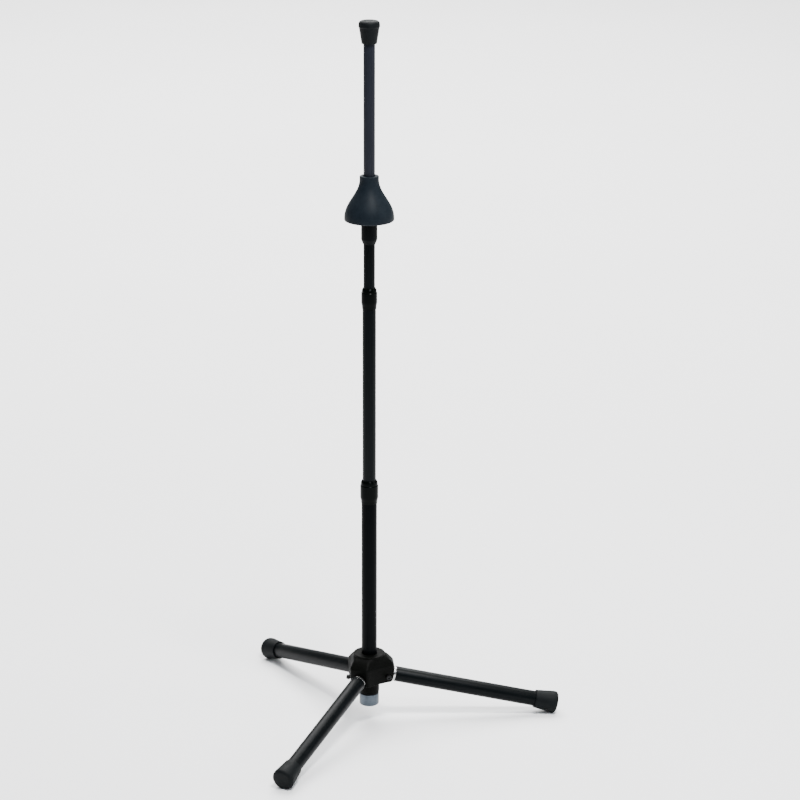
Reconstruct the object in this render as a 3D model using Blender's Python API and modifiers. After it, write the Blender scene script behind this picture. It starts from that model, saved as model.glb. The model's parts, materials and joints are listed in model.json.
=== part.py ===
"""In-bell trombone stand: telescoping mast, tripod base and a cone that the bell rests on.

Run in Blender 4.5.  Metres, +Z up, floor at z = 0.  The first leg points along +X.
Heights along the mast are measured from the point where the three leg axes meet it.
"""

import math

import bmesh
import bpy
from mathutils import Vector

# --------------------------------------------------------------------------------------
# Driving dimensions
# --------------------------------------------------------------------------------------
MM = 0.001
GAP = 0.3 * MM                      # clearance left between neighbouring pieces
TUBE_WALL = 1.2 * MM

BOTTOM_TUBE_R = 11.0 * MM           # 22 mm tube, also used for the legs
MIDDLE_TUBE_R = 9.5 * MM            # 19 mm tube
UPPER_TUBE_R = 8.0 * MM             # 16 mm tube, also used for the peg

# Heights above the point where the leg axes meet the mast axis
BARREL_BOTTOM_Z = -34.6 * MM
LOWER_LOCK_Z = (255.0 * MM, 289.5 * MM)
UPPER_LOCK_Z = (541.0 * MM, 571.0 * MM)
COUPLER_Z = (633.5 * MM, 670.2 * MM)
CONE_Z = (666.5 * MM, 729.5 * MM)
CAP_Z = (911.5 * MM, 942.5 * MM)
WASHER_Z = (BARREL_BOTTOM_Z - GAP - 1.2 * MM, BARREL_BOTTOM_Z - GAP)
NUT_Z = (-53.7 * MM, WASHER_Z[0] - GAP)
BOTTOM_TUBE_Z = (BARREL_BOTTOM_Z + 4.4 * MM, LOWER_LOCK_Z[1] - 14.0 * MM)
MIDDLE_TUBE_Z = (236.0 * MM, UPPER_LOCK_Z[1] - 13.0 * MM)
UPPER_TUBE_Z = (316.0 * MM, 651.7 * MM)
PEG_TUBE_Z = (656.3 * MM, CAP_Z[1] - 9.5 * MM)

# Mast fittings
PLUG_THREAD_R = 8.3 * MM
PLUG_SPIGOT = 12.0 * MM             # length of the plug inside the bottom tube
NUT_R = 14.15 * MM
NUT_EDGE_R = 1.8 * MM
GLIDE_SPIGOT = 12.0 * MM            # length of a glide inside its own tube
GLIDE_FLANGE = 2.5 * MM
LOWER_LOCK_R = 12.9 * MM
UPPER_LOCK_R = 11.25 * MM
LOCK_RIM = 2.9 * MM                 # thickness of a lock sleeve's top wall
COUPLER_R = 11.3 * MM
PEG_STUD_REACH = 20.0 * MM          # how far the joining stud runs into each tube
CONE_RIM_R = 34.6 * MM
CONE_LIP_R = 13.4 * MM
CONE_NECK = 3.0 * MM                # thickness of the narrow neck that keeps the bush in
CAP_R = 14.75 * MM
CAP_MOUTH_R = 10.5 * MM

# Hub
HUB_TOP_Z = 25.9 * MM
HUB_RIM_R = 22.7 * MM
HUB_BOTTOM_Z = -15.0 * MM
HUB_EDGE_TURN = math.radians(38.0)  # how far the walls round over before the crowned shoulder
HUB_CROWN = 0.45                    # how much the shoulder bulges on its way up to the rim
HUB_EDGE_Z = 8.7 * MM               # where the walls start to round over into the shoulder
HUB_EDGE_R = 4.2 * MM
HUB_ARM_REACH = 33.5 * MM           # mast axis to an arm's end face, at the leg axis height
HUB_CORNER = 3.2 * MM
HUB_WAIST_R = 27.0 * MM             # mast axis to the wall half way between two arms
HUB_WAIST_CURVE = 117.0 * MM        # radius of that hollow wall
HUB_FACE_TILT = math.radians(7.0)   # end face leans out at the top
BARREL_R = 14.4 * MM

# Legs, measured along each leg from the mast axis
LEG_ANGLES = (0.0, 120.0, 240.0)
HALF_SECTOR = math.radians(60.0)
LEG_SLOPE = math.radians(12.64)
LEG_TUBE_SPAN = (38.5 * MM, 277.0 * MM)
FERRULE_START = 35.3 * MM
FERRULE_R = 10.8 * MM
STUD_R = 3.85 * MM
STUD_START = 19.5 * MM
SOCKET_R = (4.15 * MM, 5.3 * MM)
SOCKET_SPAN = (17.0 * MM, 30.4 * MM)
FOOT_SPAN = (248.0 * MM, 281.0 * MM)
FOOT_MOUTH_R = 13.1 * MM
FOOT_R = 16.1 * MM
FOOT_CORNER = 4.5 * MM
FOOT_FLAT = 0.9 * MM                # depth moulded off each foot where it meets the floor

# Leg locking screws: M4 socket caps that enter each arm from the side
SCREW_REACH = 27.0 * MM
SCREW_TIP = 4.4 * MM
SCREW_HEAD = (18.4 * MM, 22.4 * MM)
SCREW_R = 2.0 * MM
SCREW_HEAD_R = 3.5 * MM
HEX_KEY = 3.0 * MM

TUBE_SIDES = 24
CONE_SIDES = 36
SMALL_SIDES = 16

# --------------------------------------------------------------------------------------
# Finishes: base colour, roughness, metallic
# --------------------------------------------------------------------------------------
FINISHES = {
    "black_anodised": ((0.010, 0.012, 0.016), 0.38, 0.6),
    "hub_plastic": ((0.013, 0.013, 0.012), 0.48, 0.0),
    "lock_plastic": ((0.006, 0.007, 0.007), 0.25, 0.0),
    "cone_plastic": ((0.020, 0.025, 0.031), 0.42, 0.0),
    "collar_plastic": ((0.006, 0.007, 0.008), 0.55, 0.0),
    "black_rubber": ((0.012, 0.013, 0.014), 0.60, 0.0),
    "silver_aluminium": ((0.62, 0.65, 0.72), 0.32, 1.0),
    "bright_steel": ((0.75, 0.75, 0.74), 0.20, 1.0),
    "black_steel": ((0.015, 0.015, 0.016), 0.35, 0.8),
    "brass": ((0.70, 0.52, 0.24), 0.30, 1.0),
    "grey_acetal": ((0.35, 0.35, 0.34), 0.50, 0.0),
}


# --------------------------------------------------------------------------------------
# Scene helpers
# --------------------------------------------------------------------------------------
def clear_scene():
    for old in list(bpy.data.objects):
        bpy.data.objects.remove(old, do_unlink=True)


def new_collection(name):
    collection = bpy.data.collections.new(name)
    bpy.context.scene.collection.children.link(collection)
    return collection


def finish(name):
    """The Principled material for one entry of FINISHES, made once."""
    material = bpy.data.materials.get(name)
    if material is None:
        colour, roughness, metallic = FINISHES[name]
        material = bpy.data.materials.new(name)
        material.use_nodes = True
        shader = material.node_tree.nodes["Principled BSDF"]
        shader.inputs["Base Color"].default_value = (*colour, 1.0)
        shader.inputs["Roughness"].default_value = roughness
        shader.inputs["Metallic"].default_value = metallic
        material.diffuse_color = (*colour, 1.0)
    return material


def add_object(name, mesh, parent, location=(0.0, 0.0, 0.0), rotation=(0.0, 0.0, 0.0)):
    obj = bpy.data.objects.new(name, mesh)
    obj.parent = parent
    obj.location = location
    obj.rotation_euler = rotation
    return obj


def add_part(name, mesh, finish_name, parent, location=(0.0, 0.0, 0.0), rotation=(0.0, 0.0, 0.0)):
    obj = add_object(name, mesh, parent, location, rotation)
    if not mesh.materials:
        mesh.materials.append(finish(finish_name))
    PARTS.objects.link(obj)
    return obj


def add_cutter(name, mesh, parent, location=(0.0, 0.0, 0.0), rotation=(0.0, 0.0, 0.0)):
    obj = add_object(name, mesh, parent, location, rotation)
    obj.hide_render = True
    obj.display_type = "WIRE"
    CUTTERS.objects.link(obj)
    return obj


def add_empty(name, parent=None, location=(0.0, 0.0, 0.0), rotation=(0.0, 0.0, 0.0)):
    obj = add_object(name, None, parent, location, rotation)
    PARTS.objects.link(obj)
    return obj


def profile_mesh(name, points, closed):
    """A chain of edges in the XZ plane: each point is (radius, height)."""
    count = len(points)
    edges = [(i, i + 1) for i in range(count - 1)]
    if closed:
        edges.append((count - 1, 0))
    mesh = bpy.data.meshes.new(name)
    mesh.from_pydata([(radius, 0.0, height) for radius, height in points], edges, [])
    return mesh


def spin(obj, sides):
    """Turn the object's profile into a solid of revolution about its own Z."""
    screw = obj.modifiers.new("turned", "SCREW")
    screw.axis = "Z"
    screw.steps = sides
    screw.render_steps = sides
    screw.use_merge_vertices = True
    screw.merge_threshold = 0.00001
    screw.use_smooth_shade = True


def turned_part(name, points, finish_name, parent, closed=True, sides=TUBE_SIDES, **place):
    part = add_part(name, profile_mesh(name, points, closed), finish_name, parent, **place)
    spin(part, sides)
    return part


def turned_cutter(name, points, parent, sides=TUBE_SIDES, **place):
    cutter = add_cutter(name, profile_mesh(name, points, False), parent, **place)
    spin(cutter, sides)
    return cutter


def cut(part, cutter):
    boolean = part.modifiers.new("cut_" + cutter.name, "BOOLEAN")
    boolean.operation = "DIFFERENCE"
    boolean.solver = "EXACT"
    boolean.object = cutter


# --------------------------------------------------------------------------------------
# Profiles: (radius, height) pairs that run down the outer side and up the inner side
# --------------------------------------------------------------------------------------
def arc(centre, radius, start_deg, end_deg, steps):
    """Points on a circle in a profile; 0 degrees points outwards and 90 degrees up."""
    points = []
    for i in range(steps + 1):
        angle = math.radians(start_deg + (end_deg - start_deg) * i / steps)
        points.append((centre[0] + radius * math.cos(angle), centre[1] + radius * math.sin(angle)))
    return points


def bezier(p0, p1, p2, p3, steps):
    points = []
    for i in range(steps + 1):
        t = i / steps
        weights = ((1 - t) ** 3, 3 * t * (1 - t) ** 2, 3 * t * t * (1 - t), t ** 3)
        points.append(tuple(sum(w * p[k] for w, p in zip(weights, (p0, p1, p2, p3))) for k in range(2)))
    return points


def ring(outer, inner, bottom, top):
    return [(outer, top), (outer, bottom), (inner, bottom), (inner, top)]


def rod(radius, bottom, top):
    return [(0.0, top), (radius, top), (radius, bottom), (0.0, bottom)]


def tube_ring(radius, bottom, top):
    return ring(radius, radius - TUBE_WALL, bottom, top)


def lock_sleeve_profile(bottom, top, body_r, outer_tube_r, inner_tube_r):
    """A twist lock's sleeve: stepped shoulder, straight body and a tapered skirt."""
    height = top - bottom
    skirt_r = outer_tube_r + GAP
    collet_top = top - LOCK_RIM
    outside = [
        (body_r - 2.3 * MM, top),
        (body_r - 1.5 * MM, top - 0.5 * MM),
        (body_r - 0.75 * MM, top - 0.17 * height),
        (body_r - 0.75 * MM, top - 0.22 * height),
        (body_r, top - 0.27 * height),
        (body_r, bottom + 0.22 * height),
        (skirt_r + 0.5 * MM, bottom + 0.4 * MM),
        (skirt_r + 0.3 * MM, bottom),
    ]
    inside = [
        (skirt_r, bottom),
        (skirt_r, collet_top),
        (inner_tube_r + GAP, collet_top),
        (inner_tube_r + GAP, top),
    ]
    return outside + inside


def cone_profile():
    """Bell cone: S-shaped outside, hollow underneath around a straight central boss."""
    bottom, top = CONE_Z
    rim_round = 3.2 * MM
    neck_r, bore_r, boss_r = UPPER_TUBE_R + 0.5 * MM, UPPER_TUBE_R + 1.9 * MM, 13.2 * MM
    boss_bottom, neck_bottom = COUPLER_Z[1] + GAP, top - CONE_NECK
    shoulder = top - 6.5 * MM
    lip = [(11.9 * MM, top)] + arc((12.0 * MM, top - 1.3 * MM), 1.3 * MM, 70, 10, 2)
    flank = bezier(
        (CONE_LIP_R, shoulder), (CONE_LIP_R + 1.6 * MM, shoulder - 20.0 * MM),
        (CONE_RIM_R - 1.0 * MM, bottom + 26.0 * MM), (CONE_RIM_R, bottom + 4.6 * MM), 11,
    )
    rim = arc((CONE_RIM_R - rim_round, bottom + rim_round), rim_round, -10, -90, 4)
    hollow = bezier(
        (CONE_RIM_R - 3.6 * MM, bottom), (CONE_RIM_R - 3.4 * MM, bottom + 18.0 * MM),
        (boss_r + 9.5 * MM, bottom + 27.0 * MM), (boss_r + 3.2 * MM, bottom + 38.0 * MM), 6,
    )
    boss = [(boss_r, bottom + 39.0 * MM), (boss_r, boss_bottom), (bore_r, boss_bottom)]
    neck = [(bore_r, neck_bottom), (neck_r, neck_bottom), (neck_r, top)]
    return lip + flank + rim + hollow + boss + neck


def cap_profile():
    """Rubber cap for the peg: flared skirt and a rounded crown, pushed over the tube."""
    mouth, top = CAP_Z
    bore_r, bore_top = UPPER_TUBE_R + GAP, PEG_TUBE_Z[1] + GAP
    crown = arc((10.2 * MM, top - 4.2 * MM), 4.2 * MM, 90, 8, 5)
    return (
        [(0.0, top + 0.3 * MM)] + crown
        + [(CAP_R, top - 8.0 * MM), (CAP_R - 0.55 * MM, top - 9.8 * MM)]
        + [(CAP_MOUTH_R, mouth + 0.4 * MM), (CAP_MOUTH_R - 0.4 * MM, mouth)]
        + [(bore_r, mouth), (bore_r, bore_top), (0.0, bore_top)]
    )


def foot_profile():
    """Rubber ferrule: (radius, distance along the leg), outer end first."""
    mouth, end = FOOT_SPAN
    bore_r = BOTTOM_TUBE_R + GAP
    corner = arc((FOOT_R - FOOT_CORNER, end - FOOT_CORNER), FOOT_CORNER, 80, 0, 5)
    return (
        [(0.0, end)] + [(FOOT_R - FOOT_CORNER, end)] + corner
        + [(FOOT_R, end - 7.0 * MM), (FOOT_MOUTH_R, mouth + 0.6 * MM), (FOOT_MOUTH_R - 0.5 * MM, mouth)]
        + [(bore_r, mouth), (bore_r, LEG_TUBE_SPAN[1] + GAP), (0.0, LEG_TUBE_SPAN[1] + GAP)]
    )


# --------------------------------------------------------------------------------------
# Placement that follows from the feet
# --------------------------------------------------------------------------------------
def leg_axis_height():
    """Height of the leg axes' meeting point, so that the feet's flats lie on the floor."""
    slope_sin, slope_cos = math.sin(LEG_SLOPE), math.cos(LEG_SLOPE)
    lowest = max(along * slope_sin + radius * slope_cos for radius, along in foot_profile())
    return lowest - FOOT_FLAT


def mast_offset():
    """Mast axis position on X that centres the whole object's bounding box."""
    slope_sin, slope_cos = math.sin(LEG_SLOPE), math.cos(LEG_SLOPE)
    spread = math.sqrt(0.75 + 0.25 * slope_sin ** 2)
    front = max(along * slope_cos + radius * slope_sin for radius, along in foot_profile())
    back = max(0.5 * along * slope_cos + radius * spread for radius, along in foot_profile())
    return (back - front) / 2.0


# --------------------------------------------------------------------------------------
# Hub
# --------------------------------------------------------------------------------------
def hub_waist_point(offset):
    """A point on the hollow wall between two arms, seen from one of them: (along, across)."""
    centre = HUB_WAIST_R + HUB_WAIST_CURVE
    depth = centre - math.sqrt(HUB_WAIST_CURVE ** 2 - offset ** 2)
    return Vector((
        depth * math.cos(HALF_SECTOR) + offset * math.sin(HALF_SECTOR),
        depth * math.sin(HALF_SECTOR) - offset * math.cos(HALF_SECTOR),
    ))


def hub_half_outline(reach):
    """Half of one arm in plan, from the middle of the end face to the waist: (along, across)."""
    offset = reach - HUB_CORNER
    for _ in range(8):
        offset += (reach - HUB_CORNER - hub_waist_point(offset).x) / math.sin(HALF_SECTOR)
    waist = [hub_waist_point(offset * i / 4) for i in range(4, -1, -1)]
    tangent = (waist[0] - waist[1]).normalized()
    tip = waist[0] + tangent * ((reach - waist[0].x) / tangent.x)
    face_edge = Vector((reach, tip.y - HUB_CORNER))
    corner = []
    for i in range(4):
        t = i / 4
        corner.append(face_edge * (1 - t) ** 2 + tip * 2 * t * (1 - t) + waist[0] * t * t)
    return [Vector((reach, 0.0)), Vector((reach, face_edge.y * 0.5))] + corner + waist


def hub_section(height, inset=0.0):
    """The star-shaped outline at one height, as points all the way round."""
    reach = HUB_ARM_REACH + (height - hub_face_height()) * math.tan(HUB_FACE_TILT) - inset
    half = hub_half_outline(reach)
    sector = [Vector((p.x, -p.y)) for p in reversed(half[1:])] + half
    points = []
    for angle in LEG_ANGLES:
        turn = math.radians(angle)
        for p in sector[:-1]:
            shrink = 1.0 - inset * abs(p.y) / p.length / p.length
            x, y = p.x * shrink, p.y * shrink
            points.append(Vector((
                x * math.cos(turn) - y * math.sin(turn),
                x * math.sin(turn) + y * math.cos(turn),
                height,
            )))
    return points


def hub_face_height():
    return -HUB_ARM_REACH * math.tan(LEG_SLOPE)


def circle_section(pattern, radius, height):
    """A circle whose points lie at the same angles as another section's points."""
    points = []
    for p in pattern:
        flat = Vector((p.x, p.y)).normalized() * radius
        points.append(Vector((flat.x, flat.y, height)))
    return points


def loft_mesh(name, sections):
    """Join equal-length sections in order, and the last one back to the first."""
    mesh = bpy.data.meshes.new(name)
    bm = bmesh.new()
    rings = [[bm.verts.new(p) for p in section] for section in sections]
    count = len(rings[0])
    for lower, upper in zip(rings, rings[1:] + rings[:1]):
        for i in range(count):
            j = (i + 1) % count
            bm.faces.new((lower[i], lower[j], upper[j], upper[i]))
    bmesh.ops.recalc_face_normals(bm, faces=bm.faces)
    bm.to_mesh(mesh)
    bm.free()
    return mesh


def build_hub(mast):
    base = hub_section(HUB_BOTTOM_Z, 1.0 * MM)
    sections = [
        circle_section(base, BARREL_R - 0.6 * MM, BARREL_BOTTOM_Z),
        circle_section(base, BARREL_R, BARREL_BOTTOM_Z + 0.6 * MM),
        circle_section(base, BARREL_R + 0.2 * MM, HUB_BOTTOM_Z - 1.5 * MM),
        circle_section(base, BARREL_R + 1.2 * MM, HUB_BOTTOM_Z),
        base,
        hub_section(HUB_BOTTOM_Z + 0.3 * MM, 0.3 * MM),
        hub_section(HUB_BOTTOM_Z + 1.0 * MM),
    ]
    for step in range(4):
        angle = HUB_EDGE_TURN * step / 3.0
        inset = HUB_EDGE_R * (1.0 - math.cos(angle))
        sections.append(hub_section(HUB_EDGE_Z + HUB_EDGE_R * math.sin(angle), inset))
    shoulder = sections[-1]
    rim_foot = circle_section(base, HUB_RIM_R, HUB_TOP_Z - 2.4 * MM)
    for part in (0.2, 0.4, 0.6, 0.8):
        lift = Vector((0.0, 0.0, HUB_CROWN * part * (1.0 - part)))
        sections.append([a.lerp(b, part) + lift * (b.z - a.z) for a, b in zip(shoulder, rim_foot)])
    mast_r = BOTTOM_TUBE_R + GAP
    thread_r = PLUG_THREAD_R + GAP
    ledge = BARREL_BOTTOM_Z + 4.1 * MM
    for radius, height in (
        (HUB_RIM_R, HUB_TOP_Z - 2.4 * MM),
        (HUB_RIM_R, HUB_TOP_Z - 0.5 * MM),
        (HUB_RIM_R - 0.5 * MM, HUB_TOP_Z),
        (mast_r, HUB_TOP_Z),
        (mast_r, ledge),
        (thread_r, ledge),
        (thread_r, BARREL_BOTTOM_Z),
    ):
        sections.append(circle_section(base, radius, height))
    return add_part("hub_body", loft_mesh("hub_body", sections), "hub_plastic", mast)


# --------------------------------------------------------------------------------------
# Mast
# --------------------------------------------------------------------------------------
def build_base_fixing(mast):
    """The threaded plug in the mast's foot, and the washer and nut that clamp the hub to it."""
    plug_r = BOTTOM_TUBE_R - TUBE_WALL - GAP
    shoulder = BOTTOM_TUBE_Z[0]
    bottom = NUT_Z[0] + 3.7 * MM
    top, chamfer = shoulder + PLUG_SPIGOT, 0.6 * MM
    plug = [
        (0.0, top), (plug_r - chamfer, top), (plug_r, top - chamfer), (plug_r, shoulder),
        (PLUG_THREAD_R, shoulder), (PLUG_THREAD_R, bottom + chamfer),
        (PLUG_THREAD_R - chamfer, bottom), (0.0, bottom),
    ]
    turned_part("mast_plug", plug, "silver_aluminium", mast, closed=False)
    hole_r = PLUG_THREAD_R + GAP
    turned_part("nut_washer", ring(BARREL_R - 0.5 * MM, hole_r, *WASHER_Z), "black_rubber", mast)

    nut_bottom, nut_top = NUT_Z
    nut = (
        [(0.0, bottom - GAP), (hole_r, bottom - GAP), (hole_r, nut_top)]
        + [(NUT_R - 0.4 * MM, nut_top), (NUT_R, nut_top - 0.4 * MM)]
        + arc((NUT_R - NUT_EDGE_R, nut_bottom + NUT_EDGE_R), NUT_EDGE_R, 0, -90, 4)
        + [(0.0, nut_bottom)]
    )
    turned_part("base_nut", nut, "silver_aluminium", mast, closed=False)


def build_tubes(mast):
    turned_part("bottom_tube", tube_ring(BOTTOM_TUBE_R, *BOTTOM_TUBE_Z), "black_anodised", mast)
    turned_part("middle_tube", tube_ring(MIDDLE_TUBE_R, *MIDDLE_TUBE_Z), "black_anodised", mast)
    turned_part("upper_tube", tube_ring(UPPER_TUBE_R, *UPPER_TUBE_Z), "black_anodised", mast)
    turned_part("peg_tube", tube_ring(UPPER_TUBE_R, *PEG_TUBE_Z), "black_anodised", mast)


def build_glide(name, tube_r, outer_tube_r, tube_bottom, mast):
    """A plastic end plug that centres a sliding tube in the tube around it."""
    spigot_r = tube_r - TUBE_WALL - GAP
    flange_r = outer_tube_r - TUBE_WALL - 0.2 * MM
    flange_top = tube_bottom - GAP
    bore_r = spigot_r - 2.0 * MM
    flange_bottom = flange_top - GLIDE_FLANGE
    top = tube_bottom + GLIDE_SPIGOT
    outline = [
        (spigot_r, top), (spigot_r, flange_top), (flange_r, flange_top),
        (flange_r, flange_bottom), (bore_r, flange_bottom), (bore_r, top),
    ]
    turned_part(name, outline, "grey_acetal", mast)


def build_twist_lock(prefix, span, body_r, outer_tube_r, inner_tube_r, outer_tube_top, mast):
    """A sleeve that turns on the outer tube and squeezes a collet onto the inner tube."""
    bottom, top = span
    sleeve = [
        (radius, height - bottom)
        for radius, height in lock_sleeve_profile(bottom, top, body_r, outer_tube_r, inner_tube_r)
    ]
    turned_part(
        prefix + "_lock_sleeve", sleeve, "lock_plastic", mast, location=(0.0, 0.0, bottom))
    collet = ring(
        outer_tube_r, inner_tube_r + GAP, outer_tube_top + GAP, top - LOCK_RIM - GAP)
    turned_part(prefix + "_lock_collet", collet, "grey_acetal", mast)


def build_peg(mast):
    """Coupler, joining stud, cone and cap at the top of the mast."""
    bottom, top = COUPLER_Z
    bore_r = UPPER_TUBE_R + GAP
    stud_r = UPPER_TUBE_R - TUBE_WALL - GAP
    web = (UPPER_TUBE_Z[1] + GAP, PEG_TUBE_Z[0] - GAP)
    coupler = [
        (COUPLER_R - 0.6 * MM, top), (COUPLER_R, top - 0.6 * MM), (COUPLER_R, bottom + 7.0 * MM),
        (COUPLER_R - 0.5 * MM, bottom + 5.2 * MM), (9.0 * MM, bottom + 0.8 * MM),
        (8.8 * MM, bottom),
        (bore_r, bottom), (bore_r, web[0]), (stud_r + GAP, web[0]), (stud_r + GAP, web[1]),
        (bore_r, web[1]), (bore_r, top),
    ]
    turned_part("peg_coupler", coupler, "collar_plastic", mast)
    stud = rod(stud_r, web[0] - PEG_STUD_REACH, web[1] + PEG_STUD_REACH)
    turned_part("peg_stud", stud, "silver_aluminium", mast, closed=False, sides=SMALL_SIDES)

    turned_part("bell_cone", cone_profile(), "cone_plastic", mast, sides=CONE_SIDES)
    bush_r = (UPPER_TUBE_R + GAP, UPPER_TUBE_R + 1.6 * MM)
    bush = ring(bush_r[1], bush_r[0], CONE_Z[0] + 8.0 * MM, CONE_Z[1] - CONE_NECK - GAP)
    turned_part("cone_bush", bush, "grey_acetal", mast)
    turned_part("top_cap", cap_profile(), "black_rubber", mast, closed=False)


# --------------------------------------------------------------------------------------
# Legs
# --------------------------------------------------------------------------------------
def build_leg_cutters(index, angle, leg, mast):
    """Cutters for one arm: the socket hole along the leg and the side screw's hole."""
    turn = math.radians(angle)
    socket = rod(SOCKET_R[1] + GAP, SOCKET_SPAN[0] - GAP, SOCKET_SPAN[0] + 40 * MM)
    socket_cutter = turned_cutter(f"socket_cutter_{index}", socket, leg)
    height = -SCREW_REACH * math.tan(LEG_SLOPE)
    screw_axis = add_empty(
        f"screw_axis_{index}", mast,
        location=(SCREW_REACH * math.cos(turn), SCREW_REACH * math.sin(turn), height),
        rotation=(0.0, math.radians(90.0), turn - math.radians(90.0)),
    )
    hole = rod(SCREW_R + GAP, 0.0, 40 * MM)
    hole_cutter = turned_cutter(f"screw_cutter_{index}", hole, screw_axis, sides=SMALL_SIDES)
    return socket_cutter, hole_cutter, screw_axis


def build_lock_screw(index, screw_axis):
    under, top = SCREW_HEAD
    chamfer = 0.4 * MM
    outline = [
        (0.0, top), (SCREW_HEAD_R - chamfer, top), (SCREW_HEAD_R, top - chamfer),
        (SCREW_HEAD_R, under), (SCREW_R, under), (SCREW_R, SCREW_TIP + chamfer),
        (SCREW_R - chamfer, SCREW_TIP), (0.0, SCREW_TIP),
    ]
    screw = turned_part(
        f"leg_lock_screw_{index}", outline, "black_steel", screw_axis,
        closed=False, sides=SMALL_SIDES)
    hex_r = HEX_KEY / 2.0 / math.cos(math.radians(30.0))
    key = rod(hex_r, top - 2.2 * MM, top + 2.0 * MM)
    cut(screw, turned_cutter(f"hex_cutter_{index}", key, screw_axis, sides=6))


def build_leg(index, angle, hub, floor_cutter, mast):
    turn = math.radians(angle)
    leg = add_empty(
        f"leg_axis_{index}", mast, rotation=(0.0, math.radians(90.0) + LEG_SLOPE, turn))
    socket_cutter, hole_cutter, screw_axis = build_leg_cutters(index, angle, leg, mast)
    cut(hub, socket_cutter)
    cut(hub, hole_cutter)

    socket = turned_part(
        f"leg_socket_{index}", ring(SOCKET_R[1], SOCKET_R[0], *SOCKET_SPAN), "brass", leg,
        sides=SMALL_SIDES)
    cut(socket, hole_cutter)
    build_lock_screw(index, screw_axis)

    start, end = LEG_TUBE_SPAN
    turned_part(f"leg_tube_{index}", tube_ring(BOTTOM_TUBE_R, start, end), "black_anodised", leg)
    spigot_r = BOTTOM_TUBE_R - TUBE_WALL - GAP
    flange_end = start - GAP
    ferrule = [
        (0.0, start + 15 * MM), (spigot_r - 0.5 * MM, start + 15 * MM),
        (spigot_r, start + 14.5 * MM), (spigot_r, flange_end), (FERRULE_R, flange_end),
        (FERRULE_R, FERRULE_START), (STUD_R, FERRULE_START), (STUD_R, STUD_START + 0.5 * MM),
        (STUD_R - 0.5 * MM, STUD_START), (0.0, STUD_START),
    ]
    turned_part(f"leg_ferrule_{index}", ferrule, "bright_steel", leg, closed=False)
    foot = turned_part(f"leg_foot_{index}", foot_profile(), "black_rubber", leg, closed=False)
    cut(foot, floor_cutter)


def build_floor_cutter():
    """Everything below the floor, taken off the feet to give them flats."""
    mesh = bpy.data.meshes.new("floor_cutter")
    bm = bmesh.new()
    bmesh.ops.create_cube(bm, size=1.0)
    bmesh.ops.scale(bm, vec=(1.0, 1.0, 0.02), verts=bm.verts)
    bm.to_mesh(mesh)
    bm.free()
    return add_cutter("floor_cutter", mesh, None, location=(0.0, 0.0, -0.01))


def build_stand():
    mast = add_empty("mast_axis", location=(mast_offset(), 0.0, leg_axis_height()))
    hub = build_hub(mast)
    build_base_fixing(mast)
    build_tubes(mast)
    build_twist_lock(
        "lower", LOWER_LOCK_Z, LOWER_LOCK_R, BOTTOM_TUBE_R, MIDDLE_TUBE_R, BOTTOM_TUBE_Z[1], mast)
    build_twist_lock(
        "upper", UPPER_LOCK_Z, UPPER_LOCK_R, MIDDLE_TUBE_R, UPPER_TUBE_R, MIDDLE_TUBE_Z[1], mast)
    build_glide("middle_tube_glide", MIDDLE_TUBE_R, BOTTOM_TUBE_R, MIDDLE_TUBE_Z[0], mast)
    build_glide("upper_tube_glide", UPPER_TUBE_R, MIDDLE_TUBE_R, UPPER_TUBE_Z[0], mast)
    build_peg(mast)
    floor_cutter = build_floor_cutter()
    for index, angle in enumerate(LEG_ANGLES, start=1):
        build_leg(index, angle, hub, floor_cutter, mast)


clear_scene()
PARTS = new_collection("trombone_stand")
CUTTERS = new_collection("cutters")
build_stand()
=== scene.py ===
"""Detailed visual model of an in-bell trombone stand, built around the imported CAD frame."""

import json
import logging
import math
from dataclasses import dataclass, field, replace
from enum import Enum
from functools import cache
from typing import Sequence, Union

import bmesh
import bpy
from mathutils import Matrix, Vector


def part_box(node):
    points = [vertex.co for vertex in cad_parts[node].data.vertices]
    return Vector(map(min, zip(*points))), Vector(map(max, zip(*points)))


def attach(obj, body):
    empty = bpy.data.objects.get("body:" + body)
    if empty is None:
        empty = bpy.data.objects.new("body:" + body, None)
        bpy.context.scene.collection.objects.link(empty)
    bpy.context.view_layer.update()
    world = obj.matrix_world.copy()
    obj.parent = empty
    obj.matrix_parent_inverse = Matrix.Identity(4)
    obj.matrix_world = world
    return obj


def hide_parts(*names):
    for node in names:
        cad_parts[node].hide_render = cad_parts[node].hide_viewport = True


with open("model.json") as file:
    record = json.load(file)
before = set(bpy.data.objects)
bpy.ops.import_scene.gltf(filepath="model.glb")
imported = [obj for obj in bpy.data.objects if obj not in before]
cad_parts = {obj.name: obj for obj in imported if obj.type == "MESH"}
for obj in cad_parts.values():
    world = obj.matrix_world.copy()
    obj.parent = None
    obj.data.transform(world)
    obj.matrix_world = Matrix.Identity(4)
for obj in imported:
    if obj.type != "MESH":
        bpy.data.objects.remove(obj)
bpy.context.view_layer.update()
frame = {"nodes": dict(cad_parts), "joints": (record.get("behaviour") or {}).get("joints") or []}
LOG = logging.getLogger("trombone_stand")

MM = 0.001
GAP = 0.3 * MM
TUBE_WALL = 1.2 * MM
UP = Vector((0.0, 0.0, 1.0))
POLE_RADIUS = 1e-7                  # an outline point closer to its axis than this is a pole
LONGEST_CUT = 0.63                  # share of an edge that one rounded corner may take
DUST_COLOUR = (0.16, 0.155, 0.145)

Corner = tuple[float, float, float]
Point = tuple[float, float]
Colour = tuple[float, float, float]
Socket = bpy.types.NodeSocket
Value = Union[float, Colour, Vector, Socket]
Inputs = dict[Union[int, str], Value]


# --------------------------------------------------------------------------------------
# Places taken from the CAD frame
# --------------------------------------------------------------------------------------
@dataclass(frozen=True)
class Span:
    """Where one CAD node lies along an axis: both ends and its largest radius."""

    start: float
    end: float
    radius: float


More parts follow.
